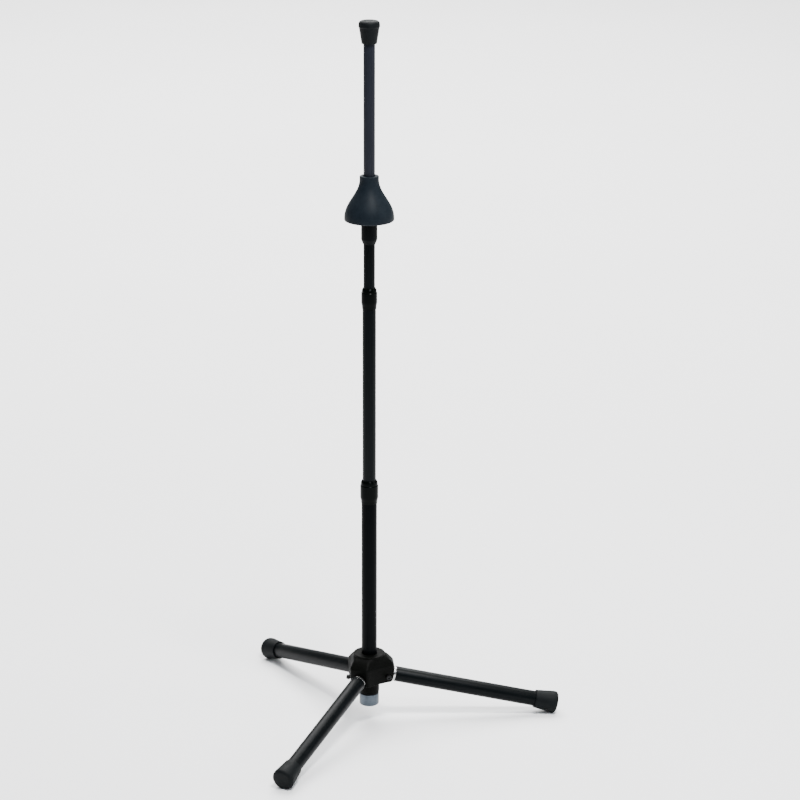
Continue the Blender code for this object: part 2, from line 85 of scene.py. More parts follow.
@dataclass(frozen=True)
class Axis:
    """A straight line that pieces are turned about; local Z runs along it."""

    origin: Vector
    direction: Vector

    def matrix(self) -> Matrix:
        """Local frame of the axis, as a world matrix; a vertical axis is not turned."""
        turn = UP.rotation_difference(self.direction).to_matrix().to_4x4()
        return Matrix.Translation(self.origin) @ turn

    def span(self, node: str) -> Span:
        """Measure a CAD node along this axis.

        Args:
            node: the CAD node's name.

        Returns:
            Its two ends along the axis and its largest distance from the axis.
        """
        inverse = self.matrix().inverted()
        local = [inverse @ vertex.co for vertex in frame["nodes"][node].data.vertices]
        heights = [point.z for point in local]
        radius = max(math.hypot(point.x, point.y) for point in local)
        return Span(min(heights), max(heights), radius)


def leg_direction(index: int) -> Vector:
    """Unit vector outwards along a leg, from the record's joint for that leg."""
    joint = next(j for j in frame["joints"] if j["name"] == f"leg_{index}_slide")
    return Vector(joint["axis"]).normalized()


def mast_axis() -> Axis:
    """The mast's axis, with its origin where the three leg axes meet it."""
    low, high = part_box("bottom_tube")
    centre = (low + high) / 2.0
    leg_low, leg_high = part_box("leg_tube_1")
    leg_centre = (leg_low + leg_high) / 2.0
    direction = leg_direction(1)
    run = (leg_centre.x - centre.x) / direction.x
    return Axis(Vector((centre.x, centre.y, leg_centre.z - run * direction.z)), UP)


# --------------------------------------------------------------------------------------
# Shader groups and finishes
# --------------------------------------------------------------------------------------
class Graph:
    """A node tree with short ways to add nodes and join them."""

    def __init__(self, tree: bpy.types.NodeTree) -> None:
        """Keep the tree that nodes are added to."""
        self.tree = tree

    def put(self, socket: Socket, value: Value) -> None:
        """Join another socket to this one, or set its constant.

        Args:
            socket: the input to fill.
            value: a socket to join, or a plain value.
        """
        if isinstance(value, bpy.types.NodeSocket):
            self.tree.links.new(value, socket)
        elif socket.type == "RGBA":
            socket.default_value = (*value, 1.0)
        else:
            socket.default_value = value

    def add(self, kind: str, settings: dict[str, object], inputs: Inputs) -> bpy.types.Node:
        """Add one node.

        Args:
            kind: Blender's name of the node type.
            settings: the node's own properties.
            inputs: values or sockets for its inputs.

        Returns:
            The new node.
        """
        node = self.tree.nodes.new(kind)
        for name, setting in settings.items():
            setattr(node, name, setting)
        for key, value in inputs.items():
            self.put(node.inputs[key], value)
        return node

    def math(self, operation: str, *values: Value, clamp: bool = False) -> Socket:
        """One Math node; returns its value."""
        settings = {"operation": operation, "use_clamp": clamp}
        return self.add("ShaderNodeMath", settings, dict(enumerate(values))).outputs[0]

    def vector(self, operation: str, *values: Value) -> bpy.types.Node:
        """One Vector Math node; returns the node, as its outputs differ."""
        return self.add("ShaderNodeVectorMath", {"operation": operation}, dict(enumerate(values)))

    def noise(self, vector: Value, scale: Value, detail: float, distortion: float = 0.0) -> Socket:
        """Noise between 0 and 1 about a mean of one half."""
        inputs = {"Vector": vector, "Scale": scale, "Detail": detail, "Distortion": distortion}
        return self.add("ShaderNodeTexNoise", {}, inputs).outputs["Fac"]

    def remap(
        self, value: Value, low: float, high: float, to_low: Value = 0.0, to_high: Value = 1.0,
    ) -> Socket:
        """Spread a range of a value over another range, held at its ends.

        Args:
            value: the value to spread.
            low: input that gives to_low.
            high: input that gives to_high.
            to_low: result at the low end.
            to_high: result at the high end.

        Returns:
            The remapped value.
        """
        inputs = {"Value": value, "From Min": low, "From Max": high, "To Min": to_low, "To Max": to_high}
        return self.add("ShaderNodeMapRange", {"clamp": True}, inputs).outputs["Result"]

    def mix(self, factor: Value, first: Value, second: Value) -> Socket:
        """Blend two colours by a mask."""
        node = self.add("ShaderNodeMix", {"data_type": "RGBA"}, {0: factor, 6: first, 7: second})
        return node.outputs[2]


class Grain(Enum):
    """How a surface was made, which decides its fine marks."""

    DRAWN = "drawn_lines"
    TURNED = "turned_rings"
    MOULDED = "moulded_texture"
    POLISHED = "polished_flow"


class ShaderGroups:
    """Shader node groups that several finishes share, each made once."""

    @staticmethod
    def _begin(
        name: str, inputs: Sequence[tuple[str, str]], outputs: Sequence[str],
    ) -> tuple[Graph, dict, dict]:
        """Start a group.

        Args:
            name: the group's name.
            inputs: name and socket type of each input.
            outputs: names of the float outputs.

        Returns:
            Its graph, its inputs by name and its output sockets by name.
        """
        tree = bpy.data.node_groups.new(name, "ShaderNodeTree")
        for label, kind in inputs:
            tree.interface.new_socket(name=label, in_out="INPUT", socket_type=kind)
        for label in outputs:
            tree.interface.new_socket(name=label, in_out="OUTPUT", socket_type="NodeSocketFloat")
        graph = Graph(tree)
        entry = tree.nodes.new("NodeGroupInput").outputs
        leave = tree.nodes.new("NodeGroupOutput").inputs
        return graph, {s.name: s for s in entry if s.name}, {s.name: s for s in leave if s.name}

    @classmethod
    @cache
    def grain(cls, grain: Grain) -> bpy.types.NodeTree:
        """Fine surface marks: Height for a bump, Tone for colour and roughness.

        Args:
            grain: how the surface was made.

        Returns:
            The node group for that grain.
        """
        inputs = (("Vector", "NodeSocketVector"), ("Pitch", "NodeSocketFloat"))
        graph, given, result = cls._begin(grain.value, inputs, ("Height", "Tone"))
        per_metre = graph.math("DIVIDE", 1.0, given["Pitch"])
        scaled = graph.vector("SCALE", given["Vector"])
        graph.put(scaled.inputs["Scale"], per_metre)
        place = scaled.outputs["Vector"]
        if grain is Grain.DRAWN:
            place = graph.vector("MULTIPLY", place, Vector((1.0, 1.0, 0.012))).outputs["Vector"]
            height = graph.noise(place, 1.0, 3.0)
            tone = graph.noise(place, 0.23, 4.0)
        elif grain is Grain.TURNED:
            apart = graph.add("ShaderNodeSeparateXYZ", {}, {0: place}).outputs
            reach = graph.vector("LENGTH", graph.add(
                "ShaderNodeCombineXYZ", {}, {0: apart[0], 1: apart[1]}).outputs[0]).outputs["Value"]
            rings = graph.add("ShaderNodeCombineXYZ", {}, {0: reach, 2: apart[2]}).outputs[0]
            height = graph.noise(rings, 1.0, 2.0)
            tone = graph.noise(rings, 0.3, 3.0)
        elif grain is Grain.MOULDED:
            cells = graph.add(
                "ShaderNodeTexVoronoi", {"feature": "SMOOTH_F1"}, {"Vector": place, "Scale": 1.0})
            height = graph.math("ADD", cells.outputs["Distance"], graph.noise(place, 2.3, 2.0))
            tone = graph.noise(place, 0.06, 4.0)
        else:
            height = graph.noise(place, 0.2, 1.0, 0.4)
            tone = graph.noise(place, 0.35, 3.0)
        graph.put(result["Height"], height)
        graph.put(result["Tone"], tone)
        return graph.tree

    @classmethod
    @cache
    def edge_wear(cls) -> bpy.types.NodeTree:
        """Mask that is bright where an edge turns sharply and is rubbed in patches.

        Returns:
            The node group.
        """
        inputs = (("Vector", "NodeSocketVector"), ("Width", "NodeSocketFloat"), ("Amount", "NodeSocketFloat"))
        graph, given, result = cls._begin("edge_wear", inputs, ("Mask",))
        rounded = graph.add("ShaderNodeBevel", {"samples": 4}, {"Radius": given["Width"]}).outputs[0]
        flat = graph.add("ShaderNodeNewGeometry", {}, {}).outputs["Normal"]
        agree = graph.vector("DOT_PRODUCT", rounded, flat).outputs["Value"]
        edge = graph.remap(graph.math("SUBTRACT", 1.0, agree), 0.01, 0.12)
        patches = graph.remap(graph.noise(given["Vector"], 260.0, 4.0), 0.40, 0.66)
        rubbed = graph.math("MULTIPLY", edge, patches)
        graph.put(result["Mask"], graph.math("MULTIPLY", rubbed, given["Amount"], clamp=True))
        return graph.tree

    @classmethod
    @cache
    def dust(cls) -> bpy.types.NodeTree:
        """Mask for dust that settles on faces which look upwards.

        Returns:
            The node group.
        """
        inputs = (
            ("Vector", "NodeSocketVector"), ("Normal", "NodeSocketVector"), ("Amount", "NodeSocketFloat"))
        graph, given, result = cls._begin("settled_dust", inputs, ("Mask",))
        upward = graph.add("ShaderNodeSeparateXYZ", {}, {0: given["Normal"]}).outputs[2]
        lying = graph.remap(upward, 0.15, 0.95)
        specks = graph.remap(graph.noise(given["Vector"], 1900.0, 3.0), 0.52, 0.72)
        drifts = graph.remap(graph.noise(given["Vector"], 70.0, 3.0), 0.35, 0.75, 0.25, 1.0)
        settled = graph.math("MULTIPLY", graph.math("MULTIPLY", lying, specks), drifts)
        graph.put(result["Mask"], graph.math("MULTIPLY", settled, given["Amount"], clamp=True))
        return graph.tree

    @classmethod
    @cache
    def scuffs(cls) -> bpy.types.NodeTree:
        """Mask of sparse hairline scratches, longest along the local Z axis.

        Returns:
            The node group.
        """
        inputs = (("Vector", "NodeSocketVector"), ("Amount", "NodeSocketFloat"))
        graph, given, result = cls._begin("hairline_scuffs", inputs, ("Mask",))
        stretched = graph.vector("MULTIPLY", given["Vector"], Vector((1.0, 1.0, 0.05))).outputs["Vector"]
        lines = graph.remap(graph.noise(stretched, 1500.0, 2.0, 0.6), 0.655, 0.70)
        where = graph.remap(graph.noise(given["Vector"], 36.0, 2.0), 0.50, 0.66)
        marks = graph.math("MULTIPLY", lines, where)
        graph.put(result["Mask"], graph.math("MULTIPLY", marks, given["Amount"], clamp=True))
        return graph.tree


class Coordinates(Enum):
    """What a finish's pattern is placed by."""

    AXIS = "axis_frame"
    OBJECT = "object"


@dataclass(frozen=True)
class Finish:
    """One procedural finish; colours are linear and lengths are in metres."""

    name: str
    slot: str
    base: Colour
    tint: Colour
    worn: Colour
    roughness: float
    spread: float
    metallic: float
    specular: float
    grain: Grain
    pitch: float
    depth: float
    wear: float = 0.3
    wear_width: float = 0.0005
    dust: float = 0.15
    scuff: float = 0.3

    def _group(self, graph: Graph, tree: bpy.types.NodeTree, inputs: Inputs) -> bpy.types.Node:
        """Place a shader group with its own input values."""
        return graph.add("ShaderNodeGroup", {"node_tree": tree}, inputs)

    def material(self, coordinates: Coordinates = Coordinates.AXIS) -> bpy.types.Material:
        """The finish as a material, made once for each kind of coordinates.

        Args:
            coordinates: whether patterns follow the piece's own axis or object space.

        Returns:
            The material.
        """
        name = self.name if coordinates is Coordinates.AXIS else f"{self.name}_inner"
        found = bpy.data.materials.get(name)
        if found:
            return found
        material = bpy.data.materials.new(name)
        material.use_nodes = True
        material.diffuse_color = (*self.base, 1.0)
        graph = Graph(material.node_tree)
        shader = material.node_tree.nodes["Principled BSDF"]
        if coordinates is Coordinates.AXIS:
            settings = {"attribute_type": "GEOMETRY", "attribute_name": coordinates.value}
            place = graph.add("ShaderNodeAttribute", settings, {}).outputs["Vector"]
        else:
            place = graph.add("ShaderNodeTexCoord", {}, {}).outputs["Object"]
        normal = graph.add("ShaderNodeNewGeometry", {}, {}).outputs["Normal"]
        grain = self._group(graph, ShaderGroups.grain(self.grain), {"Vector": place, "Pitch": self.pitch})
        height, tone = grain.outputs["Height"], grain.outputs["Tone"]
        edge = self._group(graph, ShaderGroups.edge_wear(), {
            "Vector": place, "Width": self.wear_width, "Amount": self.wear}).outputs["Mask"]
        dust = self._group(graph, ShaderGroups.dust(), {
            "Vector": place, "Normal": normal, "Amount": self.dust}).outputs["Mask"]
        scuff = self._group(graph, ShaderGroups.scuffs(), {
            "Vector": place, "Amount": self.scuff}).outputs["Mask"]

        colour = graph.mix(graph.remap(tone, 0.32, 0.68), self.base, self.tint)
        colour = graph.mix(graph.math("MAXIMUM", edge, scuff), colour, self.worn)
        colour = graph.mix(dust, colour, DUST_COLOUR)
        rough = graph.remap(tone, 0.30, 0.70, self.roughness - self.spread, self.roughness + self.spread)
        rough = graph.math("ADD", rough, graph.math("MULTIPLY", scuff, 0.12))
        rough = graph.math("ADD", rough, graph.math("MULTIPLY", dust, 0.5), clamp=True)
        bump = graph.add("ShaderNodeBump", {}, {"Strength": 1.0, "Distance": self.depth, "Height": height})
        graph.put(shader.inputs["Base Color"], colour)
        graph.put(shader.inputs["Roughness"], rough)
        graph.put(shader.inputs["Normal"], bump.outputs["Normal"])
        shader.inputs["Metallic"].default_value = self.metallic
        shader.inputs["Specular IOR Level"].default_value = self.specular
        return material


TUBE_BLACK = Finish(
    "satin_black_anodised", "black_anodised", (0.0007, 0.0014, 0.0017), (0.0013, 0.0021, 0.0028),
    (0.018, 0.020, 0.022), 0.36, 0.05, 0.0, 0.055, Grain.DRAWN, 0.00022, 0.0000025, wear=0.5, scuff=0.25)
# Darker copy of the tube finish for the bottom tube: its lower base colour and specular are painted shade.
SHADED_TUBE_BLACK = replace(
    TUBE_BLACK, name="black_anodised_painted_shade", base=(0.0003, 0.0007, 0.0010), tint=(0.0006, 0.0011, 0.0015),
    specular=0.030)
# Brighter, bluer copy of the tube finish for the peg rod: its higher base colour, blue tint and specular are
# painted light.
LIT_TUBE_BLACK = replace(
    TUBE_BLACK, name="black_anodised_painted_light", base=(0.0075, 0.0088, 0.0130), tint=(0.0098, 0.0114, 0.0170),
    specular=0.090)
HUB_BLACK = Finish(
    "black_moulded_nylon", "hub_plastic", (0.0006, 0.0008, 0.0006), (0.0012, 0.0014, 0.0011),
    (0.014, 0.014, 0.013), 0.52, 0.05, 0.0, 0.036, Grain.MOULDED, 0.00042, 0.000022, wear=0.25, dust=0.01)
LOCK_BLACK = Finish(
    "polished_black_lock", "lock_plastic", (0.0003, 0.0008, 0.0006), (0.0006, 0.0012, 0.0010),
    (0.020, 0.022, 0.022), 0.17, 0.03, 0.0, 0.034, Grain.POLISHED, 0.0022, 0.000030, wear=0.30, dust=0.02,
    scuff=0.35)
CONE_BLACK = Finish(
    "satin_black_cone", "cone_plastic", (0.0040, 0.0066, 0.0096), (0.0054, 0.0086, 0.0122),
    (0.026, 0.029, 0.032), 0.50, 0.04, 0.0, 0.070, Grain.MOULDED, 0.00036, 0.000010, wear=0.40, dust=0.04)
COLLAR_BLACK = Finish(
    "dull_black_collar", "collar_plastic", (0.0004, 0.0009, 0.0013), (0.0009, 0.0015, 0.0021),
    (0.014, 0.016, 0.018), 0.50, 0.05, 0.0, 0.05, Grain.MOULDED, 0.00040, 0.000014, wear=0.30, dust=0.03)
RUBBER = Finish(
    "matt_black_rubber", "black_rubber", (0.0016, 0.0024, 0.0029), (0.0026, 0.0036, 0.0043),
    (0.014, 0.015, 0.015), 0.60, 0.06, 0.0, 0.08, Grain.MOULDED, 0.00060, 0.000030, wear=0.45, dust=0.06,
    scuff=0.5)
SILVER = Finish(
    "turned_aluminium", "silver_aluminium", (0.055, 0.068, 0.082), (0.078, 0.092, 0.110),
    (0.28, 0.31, 0.34), 0.32, 0.07, 1.0, 0.5, Grain.TURNED, 0.00024, 0.000008, wear=0.30, dust=0.05)
STEEL = Finish(
    "bright_turned_steel", "bright_steel", (0.40, 0.40, 0.40), (0.50, 0.50, 0.49),
    (0.75, 0.75, 0.75), 0.22, 0.05, 1.0, 0.5, Grain.TURNED, 0.00018, 0.000005, wear=0.25, dust=0.05)
BLACK_STEEL = Finish(
    "black_oxide_steel", "black_steel", (0.0060, 0.0062, 0.0068), (0.0090, 0.0092, 0.0100),
    (0.07, 0.07, 0.07), 0.34, 0.06, 0.7, 0.5, Grain.TURNED, 0.00020, 0.000006, wear=0.5, wear_width=0.00025)
BRASS = Finish(
    "turned_brass", "brass", (0.62, 0.44, 0.19), (0.72, 0.53, 0.26),
    (0.86, 0.70, 0.42), 0.28, 0.06, 1.0, 0.5, Grain.TURNED, 0.00022, 0.000008, dust=0.05)
ACETAL = Finish(
    "grey_acetal", "grey_acetal", (0.30, 0.30, 0.29), (0.38, 0.38, 0.37),
    (0.50, 0.50, 0.49), 0.48, 0.05, 0.0, 0.45, Grain.MOULDED, 0.00050, 0.000010, dust=0.05)


# --------------------------------------------------------------------------------------
# Shapes
# --------------------------------------------------------------------------------------
def rounded(corners: Sequence[Corner], closed: bool, steps: int = 6) -> list[Point]:
    """Round the corners of an outline.

    Args:
        corners: radius, height and rounding of each corner, in order.
        closed: whether the last corner joins the first.
        steps: short edges that each rounded corner is made of.

    Returns:
        The outline's points as (radius, height).
    """
    points: list[Point] = []
    count = len(corners)
    for index, (radius, height, rounding) in enumerate(corners):
        here = Vector((radius, height))
        at_end = not closed and index in (0, count - 1)
        if rounding <= 0.0 or at_end:
            points.append((radius, height))
            continue
        before = Vector(corners[index - 1][:2]) - here
        after = Vector(corners[(index + 1) % count][:2]) - here
        half = max(before.angle(after), 0.02) / 2.0
        cut = min(rounding / math.tan(half), LONGEST_CUT * before.length, LONGEST_CUT * after.length)
        start, end = here + before.normalized() * cut, here + after.normalized() * cut
        for step in range(steps + 1):
            t = step / steps
            first, middle, last = (1 - t) ** 2, 2 * t * (1 - t) * math.sin(half), t * t
            point = (start * first + here * middle + end * last) / (first + middle + last)
            points.append((point.x, point.y))
    return points


def bezier(p0: Point, p1: Point, p2: Point, p3: Point, steps: int) -> list[Corner]:
    """Points along a cubic curve, as corners with no rounding."""
    corners: list[Corner] = []
    for step in range(steps + 1):
        t = step / steps
        weights = ((1 - t) ** 3, 3 * t * (1 - t) ** 2, 3 * t * t * (1 - t), t ** 3)
        x, y = (sum(w * p[k] for w, p in zip(weights, (p0, p1, p2, p3))) for k in range(2))
        corners.append((x, y, 0.0))
    return corners


def turn(name: str, outline: Sequence[Point], closed: bool, sides: int) -> bpy.types.Mesh:
    """Turn an outline about local Z.

    Args:
        name: the mesh's name.
        outline: (radius, height) points; radius 0 becomes a single pole.
        closed: whether the outline is a loop.
        sides: divisions of the full turn.

    Returns:
        A closed mesh in the axis's local frame.
    """
    bm = bmesh.new()
    rings = []
    for radius, height in outline:
        if radius < POLE_RADIUS:
            rings.append([bm.verts.new((0.0, 0.0, height))] * sides)
            continue
        around = (2.0 * math.pi * k / sides for k in range(sides))
        rings.append([bm.verts.new((radius * math.cos(a), radius * math.sin(a), height)) for a in around])
    pairs = list(zip(rings, rings[1:] + rings[:1])) if closed else list(zip(rings, rings[1:]))
    for upper, lower in pairs:
        for k in range(sides):
            j = (k + 1) % sides
            corners = []
            for vertex in (upper[k], lower[k], lower[j], upper[j]):
                if vertex not in corners:
                    corners.append(vertex)
            if len(corners) > 2:
                bm.faces.new(corners)
    return to_mesh(bm, name)


def loft(name: str, sections: Sequence[Sequence[Vector]], closed: bool) -> bpy.types.Mesh:
    """Join equal-length sections in order.

    Args:
        name: the mesh's name.
        sections: rings of points.
        closed: True joins the last ring to the first, False caps both ends.

    Returns:
        A closed mesh.
    """
    bm = bmesh.new()
    rings = [[bm.verts.new(point) for point in section] for section in sections]
    count = len(rings[0])
    pairs = list(zip(rings, rings[1:] + rings[:1])) if closed else list(zip(rings, rings[1:]))
    for lower, upper in pairs:
        for i in range(count):
            j = (i + 1) % count
            bm.faces.new((lower[i], lower[j], upper[j], upper[i]))
    if not closed:
        for ring in (rings[0], rings[-1]):
            middle = bm.verts.new(sum((vertex.co for vertex in ring), Vector()) / count)
            for i in range(count):
                bm.faces.new((ring[i], ring[(i + 1) % count], middle))
    return to_mesh(bm, name)


def to_mesh(bm: bmesh.types.BMesh, name: str) -> bpy.types.Mesh:
    """Turn faces outwards and store the edited mesh.

    Args:
        bm: the edited mesh, which is freed.
        name: the stored mesh's name.

    Returns:
        The stored mesh.
    """
    bmesh.ops.recalc_face_normals(bm, faces=bm.faces)
    mesh = bpy.data.meshes.new(name)
    bm.to_mesh(mesh)
    bm.free()
    return mesh


def evaluated_mesh(obj: bpy.types.Object, name: str) -> bpy.types.Mesh:
    """The plain mesh that an object's modifiers make; the object is removed.

    Args:
        obj: an object with live modifiers.
        name: the new mesh's name.

    Returns:
        The result as a mesh of its own.
    """
    bpy.context.view_layer.update()
    graph = bpy.context.evaluated_depsgraph_get()
    mesh = bpy.data.meshes.new_from_object(obj.evaluated_get(graph))
    mesh.name = name
    obj.modifiers.clear()
    bpy.data.objects.remove(obj)
    return mesh


def loose_object(mesh: bpy.types.Mesh) -> bpy.types.Object:
    """A scene object for a mesh that is still being made."""
    obj = bpy.data.objects.new(mesh.name, mesh)
    bpy.context.scene.collection.objects.link(obj)
    return obj


def cut_away(name: str, mesh: bpy.types.Mesh, cutters: Sequence[bpy.types.Mesh]) -> bpy.types.Mesh:
    """Cut other closed meshes out of a mesh.

    Args:
        name: the result's name.
        mesh: the mesh to cut.
        cutters: closed meshes in the same frame.

    Returns:
        The cut mesh.
    """
    body = loose_object(mesh)
    tools = [loose_object(cutter) for cutter in cutters]
    for tool in tools:
        boolean = body.modifiers.new(tool.name, "BOOLEAN")
        boolean.operation, boolean.solver, boolean.object = "DIFFERENCE", "EXACT", tool
    result = evaluated_mesh(body, name)
    for tool in tools:
        bpy.data.objects.remove(tool)
    return result


def add_piece(
    name: str, mesh: bpy.types.Mesh, finish: Finish, body: str, axis: Axis, nodes: Sequence[str],
    sharp: float = 32.0,
) -> bpy.types.Object:
    """Place a finished mesh, in world coordinates, as a visible piece.

    Args:
        name: the piece's name.
        mesh: its mesh, already in place.
        finish: its finish.
        body: the CAD body that it rides on.
        axis: the axis that its patterns follow.
        nodes: the CAD nodes that it stands for.
        sharp: edges that turn more than this many degrees stay crisp.

    Returns:
        The piece.
    """
    inverse = axis.matrix().inverted()
    place = mesh.attributes.new(Coordinates.AXIS.value, "FLOAT_VECTOR", "POINT")
    local = [component for vertex in mesh.vertices for component in inverse @ vertex.co]
    place.data.foreach_set("vector", local)
    mesh.shade_smooth()
    mesh.set_sharp_from_angle(angle=math.radians(sharp))
    mesh.materials.clear()
    mesh.materials.append(finish.material())
    piece = loose_object(mesh)
    piece.name = name
    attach(piece, body)
    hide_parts(*nodes)
    LOG.info("%s: %d faces in %s on %s", name, len(mesh.polygons), finish.name, body)
    return piece


def add_turned(
    name: str, corners: Sequence[Corner], finish: Finish, body: str, axis: Axis, node: str,
    closed: bool = True, sides: int = 128,
) -> bpy.types.Object:
    """Turn an outline about an axis and place it as a piece.

    Args:
        name: the piece's name.
        corners: radius, height along the axis, and rounding of each corner.
        finish: its finish.
        body: the CAD body that it rides on.
        axis: the axis to turn about.
        node: the CAD node that it stands for.
        closed: whether the outline is a loop; an open one runs from pole to pole.
        sides: divisions of the full turn.

    Returns:
        The piece.
    """
    mesh = turn(name, rounded(corners, closed), closed, sides)
    mesh.transform(axis.matrix())
    return add_piece(name, mesh, finish, body, axis, [node])


# --------------------------------------------------------------------------------------
# Geometry Nodes
# --------------------------------------------------------------------------------------
class ShapeTree:
    """A Geometry Nodes tree that ends in Realize Instances and Set Material."""

    def __init__(self, name: str, inputs: Sequence[tuple[str, str]]) -> None:
        """Start the tree.

        Args:
            name: the tree's name.
            inputs: name and socket type of each size that the tree takes.
        """
        self.tree = bpy.data.node_groups.new(name, "GeometryNodeTree")
        face = self.tree.interface
        face.new_socket(name="Geometry", in_out="INPUT", socket_type="NodeSocketGeometry")
        for label, kind in (*inputs, ("Material", "NodeSocketMaterial")):
            face.new_socket(name=label, in_out="INPUT", socket_type=kind)
        face.new_socket(name="Geometry", in_out="OUTPUT", socket_type="NodeSocketGeometry")
        self.graph = Graph(self.tree)
        self.given = {s.name: s for s in self.tree.nodes.new("NodeGroupInput").outputs if s.name}

    def end(self, geometry: Socket) -> None:
        """Close the tree: smooth, realized, with its material.

        Args:
            geometry: the geometry that the tree has built.
        """
        add = self.graph.add
        smooth = add("GeometryNodeSetShadeSmooth", {}, {"Geometry": geometry}).outputs[0]
        real = add("GeometryNodeRealizeInstances", {}, {"Geometry": smooth}).outputs[0]
        dressed = add("GeometryNodeSetMaterial", {}, {"Geometry": real, "Material": self.given["Material"]})
        self.graph.put(self.tree.nodes.new("NodeGroupOutput").inputs[0], dressed.outputs[0])

    def grow(
        self, name: str, values: dict[str, object], seed: Union[bpy.types.Mesh, None] = None,
    ) -> bpy.types.Mesh:
        """Run the tree once.

        Args:
            name: the result's name.
            values: a value for each named input.
            seed: the mesh that the tree starts from, if it uses one.

        Returns:
            The tree's result as a plain mesh.
        """
        obj = loose_object(seed or bpy.data.meshes.new(f"{name}_seed"))
        modifier = obj.modifiers.new(name, "NODES")
        modifier.node_group = self.tree
        for item in self.tree.interface.items_tree:
            if item.in_out == "INPUT" and item.name in values:
                modifier[item.identifier] = values[item.name]
        return evaluated_mesh(obj, name)


def tube_tree() -> ShapeTree:
    """Tube rule: a filleted wall section swept round a circle.

    Returns:
        A tree with inputs Length, Radius, Wall, Lip and Sides.
    """
    shape = ShapeTree("round_tube", (
        ("Length", "NodeSocketFloat"), ("Radius", "NodeSocketFloat"), ("Wall", "NodeSocketFloat"),
        ("Lip", "NodeSocketFloat"), ("Sides", "NodeSocketInt")))
    graph, given = shape.graph, shape.given
    half_wall = graph.math("DIVIDE", given["Wall"], 2.0)
    middle = graph.math("SUBTRACT", given["Radius"], half_wall)
    path = graph.add("GeometryNodeCurvePrimitiveCircle", {"mode": "RADIUS"}, {
        "Resolution": given["Sides"], "Radius": middle}).outputs["Curve"]
    path = graph.add("GeometryNodeSetCurveNormal", {"mode": "Z_UP"}, {"Curve": path}).outputs[0]
    wall = graph.add("GeometryNodeCurvePrimitiveQuadrilateral", {"mode": "RECTANGLE"}, {
        "Width": given["Wall"], "Height": given["Length"]}).outputs["Curve"]
    wall = graph.add("GeometryNodeFilletCurve", {"mode": "POLY"}, {
        "Curve": wall, "Count": 4, "Radius": given["Lip"], "Limit Radius": True}).outputs[0]
    swept = graph.add("GeometryNodeCurveToMesh", {}, {"Curve": path, "Profile Curve": wall}).outputs[0]
    lift = graph.add("ShaderNodeCombineXYZ", {}, {2: graph.math("DIVIDE", given["Length"], 2.0)}).outputs[0]
    shape.end(graph.add("GeometryNodeTransform", {}, {"Geometry": swept, "Translation": lift}).outputs[0])
    return shape


def thread_tree() -> ShapeTree:
    """Thread rule: a three-sided ridge swept up a helix.

    Returns:
        A tree with inputs Length, Radius, Pitch and Ridge.
    """
    shape = ShapeTree("screw_thread", (
        ("Length", "NodeSocketFloat"), ("Radius", "NodeSocketFloat"), ("Pitch", "NodeSocketFloat"),
        ("Ridge", "NodeSocketFloat")))
    graph, given = shape.graph, shape.given
    turns = graph.math("DIVIDE", given["Length"], given["Pitch"])
    helix = graph.add("GeometryNodeCurveSpiral", {}, {
        "Resolution": 40, "Rotations": turns, "Start Radius": given["Radius"],
        "End Radius": given["Radius"], "Height": given["Length"]}).outputs[0]
    ridge = graph.add("GeometryNodeCurvePrimitiveCircle", {"mode": "RADIUS"}, {
        "Resolution": 4, "Radius": given["Ridge"]}).outputs["Curve"]
    swept = graph.add("GeometryNodeCurveToMesh", {}, {
        "Curve": helix, "Profile Curve": ridge, "Fill Caps": True}).outputs[0]
    shape.end(swept)
    return shape


def ring_tree() -> ShapeTree:
    """Repeat rule: copies of the starting mesh, turned evenly about the world's Z axis.

    Returns:
        A tree with input Count.
    """
    shape = ShapeTree("repeat_about_mast", (("Count", "NodeSocketInt"),))
    graph, given = shape.graph, shape.given
    points = graph.add("GeometryNodePoints", {}, {"Count": given["Count"]}).outputs[0]
    index = graph.add("GeometryNodeInputIndex", {}, {}).outputs[0]
    step = graph.math("DIVIDE", 2.0 * math.pi, given["Count"])
    turned = graph.add("ShaderNodeCombineXYZ", {}, {2: graph.math("MULTIPLY", index, step)}).outputs[0]
    copies = graph.add("GeometryNodeInstanceOnPoints", {}, {
        "Points": points, "Instance": given["Geometry"], "Rotation": turned}).outputs[0]
    shape.end(copies)
    return shape


